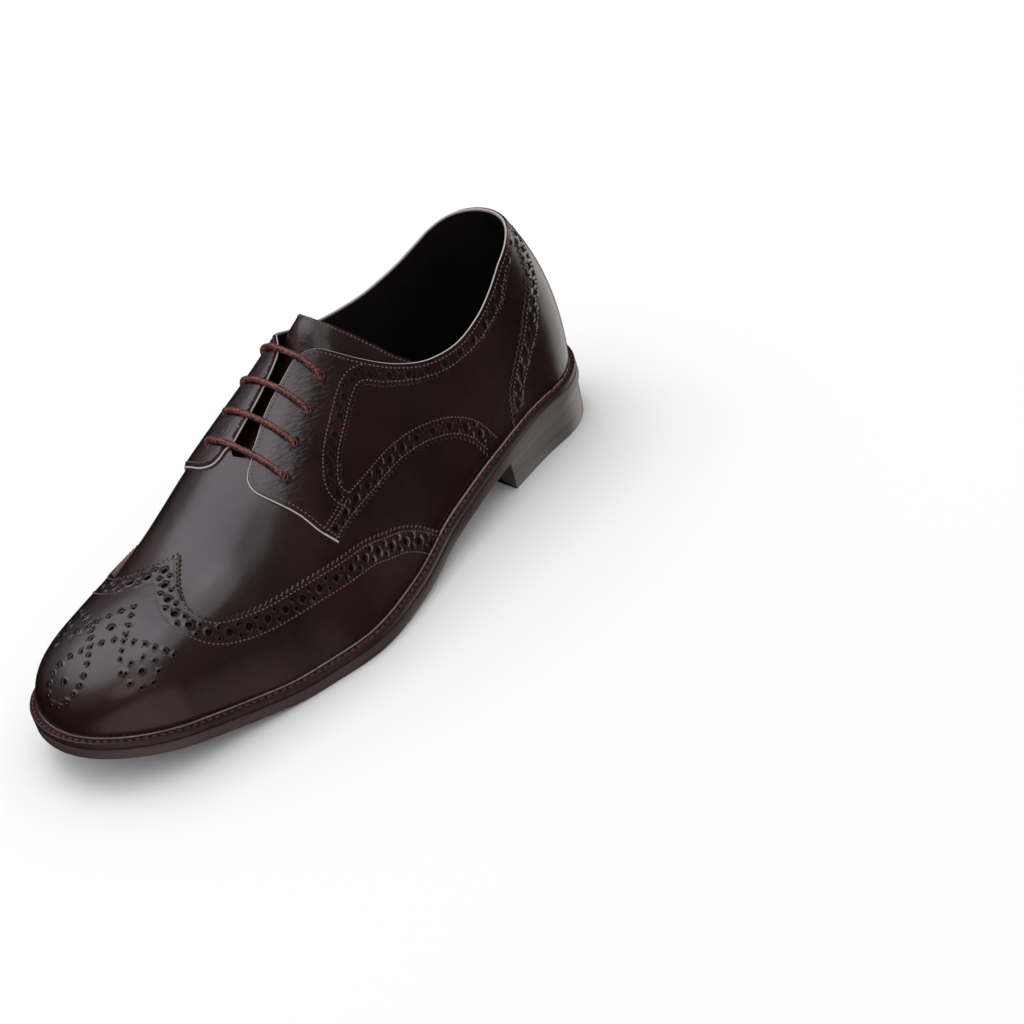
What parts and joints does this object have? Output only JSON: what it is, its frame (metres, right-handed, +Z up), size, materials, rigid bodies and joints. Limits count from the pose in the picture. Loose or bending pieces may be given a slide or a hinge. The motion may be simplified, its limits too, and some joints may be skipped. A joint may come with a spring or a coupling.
{
  "type": "wingtip derby shoe",
  "caption": "Men's leather wingtip derby shoe for the left foot: welted sole with stacked heel, hollow lasted upper with overlays, tongue and round lace.",
  "frame": {"origin": "on the floor, under the middle of the shoe's bounding box", "axes": "+X towards the toe, +Y towards the outer (lateral) side, +Z up"},
  "size_m": [0.3025, 0.1138, 0.1045],
  "materials": {
    "upper_leather": "glossy",
    "sole_leather": "satin",
    "heel_stack": "satin",
    "black_lining": "matte",
    "waxed_lace": "satin"
  },
  "bodies": {
    "root": {"outsole": "sole_leather", "welt": "sole_leather", "heel": "heel_stack", "insole": "black_lining", "upper": "upper_leather", "wing_cap": "upper_leather", "quarter_lateral": "upper_leather", "quarter_medial": "upper_leather", "heel_counter": "upper_leather", "tongue": "upper_leather", "lace": "waxed_lace"}
  },
  "joints": []
}
